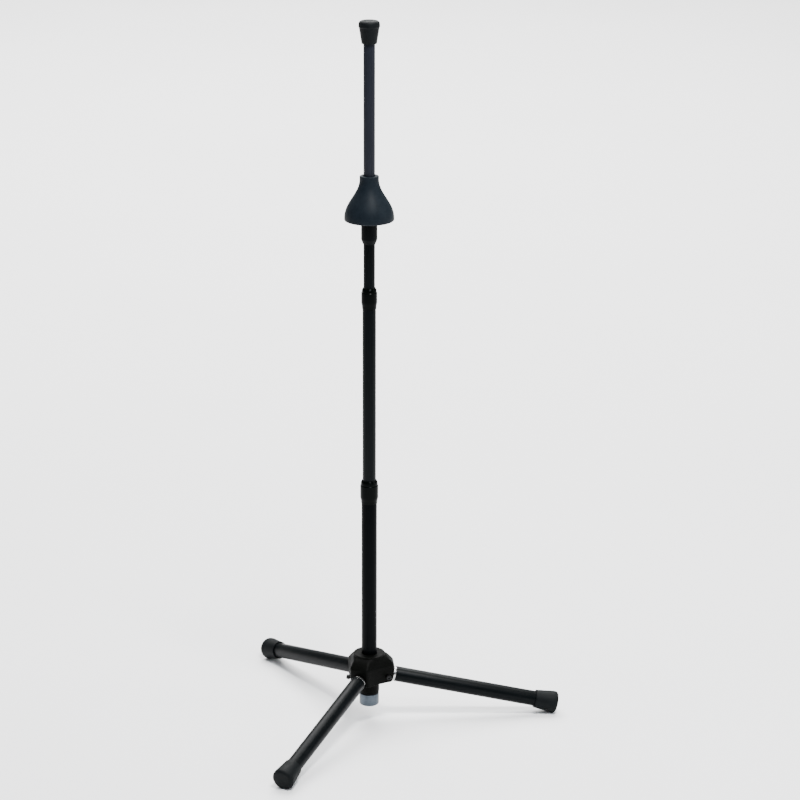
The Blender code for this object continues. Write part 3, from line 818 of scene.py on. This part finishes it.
# --------------------------------------------------------------------------------------
# Hub and its fixing
# --------------------------------------------------------------------------------------
@dataclass
class Hub:
    """Three-armed moulded hub with its barrel, sockets, lock screws and base nut."""

    axis: Axis
    slope: float
    repeat: ShapeTree
    top: float = 25.9 * MM
    rim_r: float = 22.7 * MM
    rim_wall: float = 2.4 * MM
    bottom: float = -15.0 * MM
    edge_z: float = 8.7 * MM
    edge_r: float = 4.2 * MM
    edge_turn: float = 38.0
    crown: float = 0.45
    arm_reach: float = 33.5 * MM
    corner: float = 3.2 * MM
    waist_r: float = 27.0 * MM
    waist_curve: float = 117.0 * MM
    face_tilt: float = math.radians(7.0)
    barrel_r: float = 14.4 * MM
    plug_r: float = 8.6 * MM
    tube_ledge: float = 4.1 * MM
    socket_r: float = 5.6 * MM
    socket_start: float = 16.7 * MM
    screw_reach: float = 27.0 * MM
    screw_tip: float = 4.4 * MM
    screw_head: tuple[float, float] = (18.4 * MM, 22.4 * MM)
    screw_r: float = 2.0 * MM
    screw_head_r: float = 3.5 * MM
    hex_key: float = 3.0 * MM
    steps: dict[str, int] = field(default_factory=lambda: {"corner": 9, "waist": 16, "face": 5})

    def waist_point(self, offset: float) -> Vector:
        """A point on the hollow wall between two arms, seen from one arm."""
        half = math.radians(60.0)
        depth = self.waist_r + self.waist_curve - math.sqrt(self.waist_curve ** 2 - offset ** 2)
        return Vector((
            depth * math.cos(half) + offset * math.sin(half),
            depth * math.sin(half) - offset * math.cos(half)))

    def half_outline(self, reach: float) -> list[Vector]:
        """Half of one arm in plan, from the middle of its end face to the waist.

        Args:
            reach: distance from the mast axis to the end face.

        Returns:
            Points as (along the arm, across it).
        """
        offset = reach - self.corner
        for _ in range(10):
            offset += (reach - self.corner - self.waist_point(offset).x) / math.sin(math.radians(60.0))
        count = self.steps["waist"]
        waist = [self.waist_point(offset * i / count) for i in range(count, -1, -1)]
        tangent = (waist[0] - waist[1]).normalized()
        tip = waist[0] + tangent * ((reach - waist[0].x) / tangent.x)
        face_edge = Vector((reach, tip.y - self.corner))
        face = [Vector((reach, face_edge.y * i / self.steps["face"])) for i in range(self.steps["face"])]
        corner = []
        for i in range(self.steps["corner"]):
            t = i / self.steps["corner"]
            corner.append(face_edge * (1 - t) ** 2 + tip * 2 * t * (1 - t) + waist[0] * t * t)
        return face + corner + waist

    def section(self, height: float, inset: float = 0.0) -> list[Vector]:
        """The star-shaped outline at one height.

        Args:
            height: height above the leg axes' meeting point.
            inset: how far the outline draws in from the wall.

        Returns:
            Points all the way round.
        """
        face_height = -self.arm_reach * math.tan(self.slope)
        reach = self.arm_reach + (height - face_height) * math.tan(self.face_tilt) - inset
        half = self.half_outline(reach)
        sector = [Vector((p.x, -p.y)) for p in reversed(half[1:])] + half
        points = []
        for arm in range(3):
            turned = Matrix.Rotation(math.radians(120.0 * arm), 2)
            for p in sector[:-1]:
                flat = turned @ (p * (1.0 - inset * abs(p.y) / p.length / p.length))
                points.append(Vector((flat.x, flat.y, height)))
        return points

    def circle(self, pattern: Sequence[Vector], radius: float, height: float) -> list[Vector]:
        """A circle whose points lie at the same angles as another section's."""
        flats = [Vector((p.x, p.y)).normalized() * radius for p in pattern]
        return [Vector((p.x, p.y, height)) for p in flats]

    def body_mesh(self) -> bpy.types.Mesh:
        """Loft the hub and cut its sockets and screw holes.

        Returns:
            The hub's mesh, about its own axis.
        """
        span = self.axis.span("hub_body")
        foot = span.start
        base = self.section(self.bottom, 1.0 * MM)
        barrel = rounded((
            (self.barrel_r - 3.0 * MM, foot, 0.0), (self.barrel_r, foot, 0.9 * MM),
            (self.barrel_r + 0.2 * MM, self.bottom - 1.5 * MM, 1.2 * MM),
            (self.barrel_r + 2.2 * MM, self.bottom, 0.0)), False, 8)
        sections = [self.circle(base, radius, height) for radius, height in barrel]
        sections.append(base)
        for turned in (20.0, 40.0, 60.0, 80.0, 90.0):
            angle = math.radians(turned)
            inset, rise = 1.0 * MM * (1.0 - math.sin(angle)), 1.0 * MM * (1.0 - math.cos(angle))
            sections.append(self.section(self.bottom + rise, inset))
        for part in range(1, 6):
            height = self.bottom + 1.0 * MM + (self.edge_z - self.bottom - 1.0 * MM) * part / 6.0
            sections.append(self.section(height))
        for step in range(7):
            angle = math.radians(self.edge_turn * step / 6.0)
            inset = self.edge_r * (1.0 - math.cos(angle))
            sections.append(self.section(self.edge_z + self.edge_r * math.sin(angle), inset))
        mast_r = self.axis.span("bottom_tube").radius + GAP
        shoulder = sections[-1]
        rim_foot = self.circle(base, self.rim_r, self.top - self.rim_wall)
        for part in (0.06, 0.14, 0.24, 0.36, 0.48, 0.60, 0.72, 0.84, 0.95):
            lift = Vector((0.0, 0.0, self.crown * part * (1.0 - part)))
            sections.append([a.lerp(b, part) + lift * (b.z - a.z) for a, b in zip(shoulder, rim_foot)])
        upper = rounded((
            (self.rim_r + 0.5 * MM, self.top - self.rim_wall - 0.16 * MM, 0.0),
            (self.rim_r, self.top - self.rim_wall, 0.35 * MM), (self.rim_r, self.top, 0.8 * MM),
            (mast_r, self.top, 0.15 * MM), (mast_r, foot + self.tube_ledge, 0.0),
            (self.plug_r, foot + self.tube_ledge, 0.0), (self.plug_r, foot, 0.3 * MM),
            (self.barrel_r - 3.0 * MM, foot, 0.0)), False, 6)
        sections += [self.circle(base, radius, height) for radius, height in upper[1:-1]]
        return cut_away("hub", loft("hub_blank", sections, True), self._cutters())

    def _cutters(self) -> list[bpy.types.Mesh]:
        """Socket holes along the legs and screw holes across them.

        Returns:
            Closed meshes about the hub's own axis.
        """
        start = self.socket_start
        socket = [
            (0.0, start), (self.socket_r, start),
            (self.socket_r, start + 40 * MM), (0.0, start + 40 * MM)]
        hole_r = self.screw_r + GAP
        hole = [(0.0, 0.0), (hole_r, 0.0), (hole_r, 40 * MM), (0.0, 40 * MM)]
        cutters = []
        for arm in range(3):
            turned = Matrix.Rotation(math.radians(120.0 * arm), 4, "Z")
            along = turned @ Matrix.Rotation(math.radians(90.0) + self.slope, 4, "Y")
            bore = turn(f"socket_cutter_{arm}", socket, False, 64)
            bore.transform(along)
            drill = turn(f"screw_cutter_{arm}", hole, False, 40)
            drill.transform(turned @ self.screw_place())
            cutters += [bore, drill]
        return cutters

    def screw_place(self) -> Matrix:
        """Local frame of the first arm's lock screw, about the hub's axis."""
        height = -self.screw_reach * math.tan(self.slope)
        sideways = Matrix.Rotation(math.radians(90.0), 4, "X")
        return Matrix.Translation((self.screw_reach, 0.0, height)) @ sideways

    def screw_mesh(self) -> bpy.types.Mesh:
        """A socket cap screw with a knurled head and a hexagonal recess.

        Returns:
            The screw on the first arm, about the hub's axis.
        """
        under, top = self.screw_head
        count = 72
        angles = [2.0 * math.pi * k / count for k in range(count)]
        hex_r = self.hex_key / 2.0

        def ring(radius: float, height: float, knurl: float = 0.0) -> list[Vector]:
            """A circle whose alternate points are drawn in by the knurl."""
            radii = [radius - knurl * (k % 3 == 0) for k in range(count)]
            return [Vector((r * math.cos(a), r * math.sin(a), height)) for r, a in zip(radii, angles)]

        def hexagon(height: float) -> list[Vector]:
            """The key recess's outline at one height."""
            sixth = math.pi / 3.0
            radii = [hex_r / math.cos(a % sixth - sixth / 2.0) for a in angles]
            return [Vector((r * math.cos(a), r * math.sin(a), height)) for r, a in zip(radii, angles)]

        head = self.screw_head_r
        sections = [
            ring(self.screw_r - 0.4 * MM, self.screw_tip), ring(self.screw_r, self.screw_tip + 0.4 * MM),
            ring(self.screw_r, under - 0.1 * MM), ring(self.screw_r + 0.1 * MM, under),
            ring(head - 0.25 * MM, under), ring(head - 0.12 * MM, under + 0.08 * MM),
            ring(head, under + 0.30 * MM, 0.12 * MM), ring(head, top - 0.80 * MM, 0.12 * MM),
            ring(head - 0.10 * MM, top - 0.60 * MM), ring(head - 0.12 * MM, top - 0.35 * MM),
            ring(head - 0.22 * MM, top - 0.12 * MM), ring(head - 0.45 * MM, top),
            ring(hex_r + 0.45 * MM, top), hexagon(top - 0.12 * MM), hexagon(top - 2.2 * MM)]
        mesh = loft("lock_screw", sections, False)
        mesh.transform(self.screw_place())
        return mesh

    def build(self) -> None:
        """Make the hub, its screws, the washer and the base nut."""
        place = self.axis.matrix()
        body = self.body_mesh()
        body.transform(place)
        add_piece("hub_moulding", body, HUB_BLACK, "base", self.axis, ["hub_body"], sharp=38.0)
        screws = self.repeat.grow(
            "lock_screws", {"Count": 3, "Material": BLACK_STEEL.material()}, self.screw_mesh())
        screws.transform(place)
        nodes = [f"leg_lock_screw_{index}" for index in (1, 2, 3)]
        add_piece("leg_lock_screws", screws, BLACK_STEEL, "base", self.axis, nodes)

        washer = self.axis.span("nut_washer")
        add_turned("base_washer", (
            (washer.radius, washer.end, 0.3 * MM), (washer.radius, washer.start, 0.3 * MM),
            (self.plug_r, washer.start, 0.2 * MM), (self.plug_r, washer.end, 0.2 * MM)),
            RUBBER, "base", self.axis, "nut_washer")
        nut = self.axis.span("base_nut")
        edge = nut.radius
        add_turned("base_nut_turned", (
            (0.0, nut.start + 3.4 * MM, 0.0), (self.plug_r, nut.start + 3.4 * MM, 0.0),
            (self.plug_r, nut.end, 0.3 * MM), (edge, nut.end, 0.5 * MM),
            (edge, nut.end - 2.0 * MM, 0.1 * MM), (edge - 0.18 * MM, nut.end - 2.2 * MM, 0.05 * MM),
            (edge - 0.18 * MM, nut.end - 2.6 * MM, 0.05 * MM), (edge, nut.end - 2.8 * MM, 0.1 * MM),
            (edge, nut.start, 2.2 * MM), (edge - 4.2 * MM, nut.start, 0.15 * MM),
            (edge - 4.5 * MM, nut.start + 0.25 * MM, 0.1 * MM), (0.0, nut.start + 0.25 * MM, 0.0)),
            SILVER, "base_nut", self.axis, "base_nut", closed=False)


# --------------------------------------------------------------------------------------
# Mast
# --------------------------------------------------------------------------------------
@dataclass
class Tube:
    """One length of round tube with softened ends."""

    name: str
    node: str
    body: str
    axis: Axis
    tree: ShapeTree
    finish: Finish = TUBE_BLACK
    lip: float = 0.25 * MM
    sides: int = 128

    def build(self) -> None:
        """Sweep the tube and put it on its axis."""
        span = self.axis.span(self.node)
        mesh = self.tree.grow(self.name, {
            "Length": span.end - span.start, "Radius": span.radius, "Wall": TUBE_WALL, "Lip": self.lip,
            "Sides": self.sides, "Material": self.finish.material()})
        mesh.transform(self.axis.matrix() @ Matrix.Translation((0.0, 0.0, span.start)))
        add_piece(self.name, mesh, self.finish, self.body, self.axis, [self.node])


@dataclass
class TwistLock:
    """A glossy sleeve that turns on the outer tube to grip the inner one."""

    prefix: str
    body: str
    axis: Axis
    outer_tube: str
    inner_tube: str
    rim: float = 2.9 * MM
    step: float = 0.75 * MM
    taper: tuple[float, float] = (8.6 * MM, 4.0 * MM)

    def build(self) -> None:
        """Turn the sleeve from its CAD node's size and the two tubes' radii."""
        node = f"{self.prefix}_lock_sleeve"
        span = self.axis.span(node)
        height, full = span.end - span.start, span.radius
        skirt = self.axis.span(self.outer_tube).radius + GAP
        bore = self.axis.span(self.inner_tube).radius + GAP
        top, bottom = span.end, span.start
        add_turned(f"{self.prefix}_twist_lock", (
            (bore, top, 0.1 * MM), (full - 2.6 * MM, top, 0.6 * MM),
            (full - 1.0 * MM, top - 2.8 * MM, 2.2 * MM),
            (full - self.step, top - 5.4 * MM, 1.0 * MM), (full - self.step, top - 0.205 * height, 0.2 * MM),
            (full, top - 0.235 * height, 0.7 * MM), (full, bottom + self.taper[0], 4.0 * MM),
            (skirt + 0.50 * MM, bottom + self.taper[1], 0.8 * MM), (skirt + 0.30 * MM, bottom, 0.1 * MM),
            (skirt, bottom, 0.1 * MM), (skirt, top - self.rim, 0.2 * MM), (bore, top - self.rim, 0.1 * MM)),
            LOCK_BLACK, self.body, self.axis, node)


@dataclass
class Peg:
    """Coupler, bell cone and rubber cap at the top of the mast."""

    axis: Axis
    lip_r: float = 13.4 * MM
    boss_r: float = 13.2 * MM
    bore_slack: float = 1.9 * MM
    neck_slack: float = 0.5 * MM
    neck: float = 3.0 * MM
    wall: float = 3.6 * MM

    def build(self) -> None:
        """Make the three pieces of the peg."""
        self._coupler()
        self._cone()
        self._cap()

    def _coupler(self) -> None:
        """The collar that joins the peg to the upper tube."""
        span = self.axis.span("peg_coupler")
        tube_r = self.axis.span("upper_tube").radius
        bore, stud = tube_r + GAP, self.axis.span("peg_stud").radius + GAP
        web = (self.axis.span("upper_tube").end + GAP, self.axis.span("peg_tube").start - GAP)
        full, bottom, top = span.radius, span.start, span.end
        add_turned("peg_collar", (
            (full, top, 0.6 * MM), (full, bottom + 6.6 * MM, 1.4 * MM),
            (9.1 * MM, bottom + 0.9 * MM, 0.5 * MM),
            (8.8 * MM, bottom, 0.15 * MM), (bore, bottom, 0.1 * MM), (bore, web[0], 0.0), (stud, web[0], 0.0),
            (stud, web[1], 0.0), (bore, web[1], 0.0), (bore, top, 0.2 * MM)),
            COLLAR_BLACK, "upper", self.axis, "peg_coupler")

    def _cone(self) -> None:
        """The hollow cone: S-shaped flank, rolled rim and straight central boss."""
        span = self.axis.span("bell_cone")
        bottom, top, rim = span.start, span.end, span.radius
        bore = self.axis.span("upper_tube").radius + self.bore_slack
        neck = self.axis.span("upper_tube").radius + self.neck_slack
        boss_bottom = self.axis.span("peg_coupler").end + GAP
        shoulder = top - 6.5 * MM
        flank = bezier(
            (self.lip_r, shoulder), (self.lip_r + 1.6 * MM, shoulder - 20.0 * MM),
            (rim - 1.0 * MM, bottom + 26.0 * MM), (rim, bottom + 4.6 * MM), 56)
        hollow = bezier(
            (rim - self.wall, bottom + 0.4 * MM), (rim - self.wall + 0.2 * MM, bottom + 18.0 * MM),
            (self.boss_r + 9.5 * MM, bottom + 27.0 * MM), (self.boss_r + 3.2 * MM, bottom + 38.0 * MM), 36)
        add_turned("bell_rest_cone", (
            [(neck, top, 0.4 * MM), (self.lip_r, top, 1.4 * MM)] + flank
            + [(rim, bottom, 3.0 * MM), (rim - self.wall, bottom, 0.3 * MM)] + hollow
            + [(self.boss_r, bottom + 39.0 * MM, 1.0 * MM), (self.boss_r, boss_bottom, 0.5 * MM),
               (bore, boss_bottom, 0.4 * MM), (bore, top - self.neck, 0.0), (neck, top - self.neck, 0.0)]),
            CONE_BLACK, "cone", self.axis, "bell_cone", sides=160)

    def _cap(self) -> None:
        """The flared rubber cap over the end of the peg."""
        span = self.axis.span("top_cap")
        tube = self.axis.span("peg_tube")
        bore, full, mouth, top = tube.radius + GAP, span.radius, span.start, span.end
        add_turned("peg_cap", (
            (0.0, top, 0.0), (5.0 * MM, top - 0.04 * MM, 0.0), (full - 0.35 * MM, top - 0.3 * MM, 4.6 * MM),
            (full, top - 8.3 * MM, 0.8 * MM), (full - 0.8 * MM, top - 9.5 * MM, 1.2 * MM),
            (10.5 * MM, mouth + 0.2 * MM, 0.5 * MM), (10.1 * MM, mouth, 0.1 * MM), (bore, mouth, 0.2 * MM),
            (bore, tube.end + GAP, 0.0), (0.0, tube.end + GAP, 0.0)),
            RUBBER, "upper", self.axis, "top_cap", closed=False)


# --------------------------------------------------------------------------------------
# Legs
# --------------------------------------------------------------------------------------
@dataclass
class Leg:
    """One leg: tube, bright ferrule with its threaded stud, and rubber foot."""

    index: int
    axis: Axis
    tubes: ShapeTree
    threads: ShapeTree
    stud_root: float = 3.45 * MM
    pitch: float = 1.25 * MM
    stud_r: float = 3.85 * MM
    collar_length: float = 3.2 * MM
    foot_corner: float = 4.5 * MM
    foot_share: float = 0.99            # of the CAD foot's radius

    @property
    def body(self) -> str:
        """The CAD body that this leg is."""
        return f"leg_{self.index}"

    def build(self) -> None:
        """Make the leg's three pieces."""
        Tube(f"leg_{self.index}_tube", f"leg_tube_{self.index}", self.body, self.axis, self.tubes).build()
        self._ferrule()
        self._foot()

    def _ferrule(self) -> None:
        """The turned steel end: spigot inside the tube, collar and threaded stud."""
        node = f"leg_ferrule_{self.index}"
        span, tube = self.axis.span(node), self.axis.span(f"leg_tube_{self.index}")
        collar = (tube.start - self.collar_length, tube.start - GAP)
        spigot = tube.radius - TUBE_WALL - GAP
        name = f"leg_{self.index}_ferrule"
        corners = (
            (0.0, span.end, 0.0), (spigot, span.end, 0.5 * MM), (spigot, collar[1], 0.0),
            (span.radius, collar[1], 0.2 * MM), (span.radius, collar[0], 0.4 * MM),
            (self.stud_root, collar[0], 0.2 * MM), (self.stud_root, span.start, 0.6 * MM),
            (0.0, span.start, 0.0))
        core = turn(name, rounded(corners, False), False, 96)
        ridge = self.threads.grow(f"{name}_thread", {
            "Length": collar[0] - span.start - 2.6 * MM, "Radius": self.stud_root, "Pitch": self.pitch,
            "Ridge": self.stud_r - self.stud_root, "Material": STEEL.material()})
        ridge.transform(Matrix.Translation((0.0, 0.0, span.start + 1.2 * MM)))
        both = bmesh.new()
        both.from_mesh(core)
        both.from_mesh(ridge)
        mesh = bpy.data.meshes.new(name)
        both.to_mesh(mesh)
        both.free()
        mesh.transform(self.axis.matrix())
        add_piece(name, mesh, STEEL, self.body, self.axis, [node])

    def _foot(self) -> None:
        """The rubber foot, flattened where it stands on the floor."""
        node = f"leg_foot_{self.index}"
        span, tube = self.axis.span(node), self.axis.span(f"leg_tube_{self.index}")
        bore, full, mouth, end = tube.radius + GAP, self.foot_share * span.radius, span.start, span.end
        lip = full - 2.9 * MM
        corners = (
            (0.0, end, 0.0), (full, end, self.foot_corner), (full, end - 7.2 * MM, 1.5 * MM),
            (lip + 0.05 * MM, mouth + 1.6 * MM, 0.5 * MM), (lip, mouth, 0.5 * MM), (bore, mouth, 0.3 * MM),
            (bore, tube.end + GAP, 0.0), (0.0, tube.end + GAP, 0.0))
        name = f"leg_{self.index}_foot"
        mesh = turn(name, rounded(corners, False, 10), False, 144)
        mesh.transform(self.axis.matrix())
        for vertex in mesh.vertices:
            vertex.co.z = max(vertex.co.z, 0.0)
        add_piece(name, mesh, RUBBER, self.body, self.axis, [node])


# --------------------------------------------------------------------------------------
# Inner parts that keep their CAD shape
# --------------------------------------------------------------------------------------
@dataclass
class InnerParts:
    """CAD nodes that stay as they are and get a procedural finish."""

    finishes: dict[str, Finish] = field(default_factory=lambda: {
        "mast_plug": SILVER, "peg_stud": SILVER, "cone_bush": ACETAL,
        "lower_lock_collet": ACETAL, "upper_lock_collet": ACETAL,
        "middle_tube_glide": ACETAL, "upper_tube_glide": ACETAL,
        "leg_socket_1": BRASS, "leg_socket_2": BRASS, "leg_socket_3": BRASS})

    def build(self) -> None:
        """Dress each node in place."""
        for node, finish in self.finishes.items():
            slots = frame["nodes"][node].material_slots
            for slot in slots:
                slot.material = finish.material(Coordinates.OBJECT)
            LOG.info("%s: CAD shape in %s", node, finish.name)


# --------------------------------------------------------------------------------------
# Floor, light and camera
# --------------------------------------------------------------------------------------
@dataclass
class Studio:
    """Pale floor, soft lamps and the camera."""

    axis: Axis
    lens: float = 124.0
    shift: float = 0.0385
    camera_offset: Vector = field(default_factory=lambda: Vector((-0.2703, -3.680, 1.564)))
    camera_turn: tuple[float, float, float] = (72.6, 0.0, -4.2)

    def build(self) -> None:
        """Make the floor, the lamps, the sky and the camera."""
        self._floor()
        self._lamp("backdrop", Vector((0.1, 4.4, 4.6)), 7.0, 5.0, 1250.0, (1.0, 0.998, 0.995))
        self._lamp("overhead", Vector((0.5, -1.1, 3.2)), 0.7, 0.6, 150.0, (1.0, 0.99, 0.98))
        self._lamp("key", Vector((0.7, -2.7, 3.3)), 0.9, 0.7, 70.0, (0.86, 0.93, 1.0))
        self._lamp("side", Vector((3.2, -0.9, 1.6)), 0.7, 1.6, 34.0, (0.95, 0.98, 1.0))
        self._sky()
        self._camera()

    def _floor(self) -> None:
        """A wide pale floor with a faint mottle."""
        mesh = bpy.data.meshes.new("studio_floor")
        bm = bmesh.new()
        bmesh.ops.create_circle(bm, cap_ends=True, segments=96, radius=30.0)
        bm.to_mesh(mesh)
        bm.free()
        material = bpy.data.materials.new("pale_floor")
        material.use_nodes = True
        graph = Graph(material.node_tree)
        shader = material.node_tree.nodes["Principled BSDF"]
        place = graph.add("ShaderNodeTexCoord", {}, {}).outputs["Object"]
        cloud = graph.remap(graph.noise(place, 1.5, 2.0), 0.3, 0.7)
        graph.put(shader.inputs["Base Color"], graph.mix(cloud, (0.88, 0.88, 0.885), (0.90, 0.90, 0.905)))
        shader.inputs["Roughness"].default_value = 0.85
        shader.inputs["Specular IOR Level"].default_value = 0.1
        mesh.materials.append(material)
        floor = loose_object(mesh)

    def _lamp(
        self, name: str, place: Vector, width: float, height: float, power: float, colour: Colour,
    ) -> None:
        """One rectangular lamp that looks at the middle of the stand.

        Args:
            name: the lamp's name.
            place: its position from the mast's foot.
            width: its width in metres.
            height: its height in metres.
            power: its power in watts.
            colour: its linear colour.
        """
        data = bpy.data.lights.new(name, "AREA")
        data.shape, data.size, data.size_y = "RECTANGLE", width, height
        data.energy, data.color = power, colour
        lamp = bpy.data.objects.new(name, data)
        bpy.context.scene.collection.objects.link(lamp)
        foot = Vector((self.axis.origin.x, self.axis.origin.y, 0.0))
        aim = foot + Vector((0.0, place.y if place.y > 0.0 else 0.0, 0.45))
        lamp.location = foot + place
        lamp.rotation_euler = (aim - lamp.location).to_track_quat("-Z", "Y").to_euler()

    def _sky(self) -> None:
        """Even pale surroundings."""
        world = bpy.data.worlds.new("studio_surroundings")
        world.use_nodes = True
        background = world.node_tree.nodes["Background"]
        background.inputs["Color"].default_value = (0.96, 0.98, 1.0, 1.0)
        background.inputs["Strength"].default_value = 0.30
        bpy.context.scene.world = world

    def _camera(self) -> None:
        """The camera, at the stand's usual three-quarter height."""
        data = bpy.data.cameras.new("camera")
        data.sensor_width, data.lens, data.shift_x = 36.0, self.lens, self.shift
        data.clip_end = 100.0
        camera = bpy.data.objects.new("camera", data)
        bpy.context.scene.collection.objects.link(camera)
        camera.location = self.axis.origin + self.camera_offset
        camera.rotation_euler = [math.radians(angle) for angle in self.camera_turn]
        bpy.context.scene.camera = camera


def main() -> None:
    """Build every sub-assembly in order, then the studio."""
    logging.basicConfig(level=logging.INFO, format="%(name)s %(message)s")
    mast = mast_axis()
    legs = {index: Axis(mast.origin.copy(), leg_direction(index)) for index in (1, 2, 3)}
    slope = math.asin(-legs[1].direction.z)
    tubes, threads = tube_tree(), thread_tree()
    Hub(mast, slope, ring_tree()).build()
    # The bottom tube's finish carries painted shade and the peg rod's finish carries painted light.
    for name, node, body, finish in (
        ("mast_bottom_tube", "bottom_tube", "base", SHADED_TUBE_BLACK),
        ("mast_middle_tube", "middle_tube", "middle", TUBE_BLACK),
        ("mast_upper_tube", "upper_tube", "upper", TUBE_BLACK), ("peg_rod", "peg_tube", "upper", LIT_TUBE_BLACK),
    ):
        Tube(name, node, body, mast, tubes, finish).build()
    TwistLock("lower", "lower_lock", mast, "bottom_tube", "middle_tube").build()
    TwistLock("upper", "upper_lock", mast, "middle_tube", "upper_tube").build()
    Peg(mast).build()
    for index, axis in legs.items():
        Leg(index, axis, tubes, threads).build()
    InnerParts().build()
    Studio(mast).build()


if __name__ == "__main__":
    main()
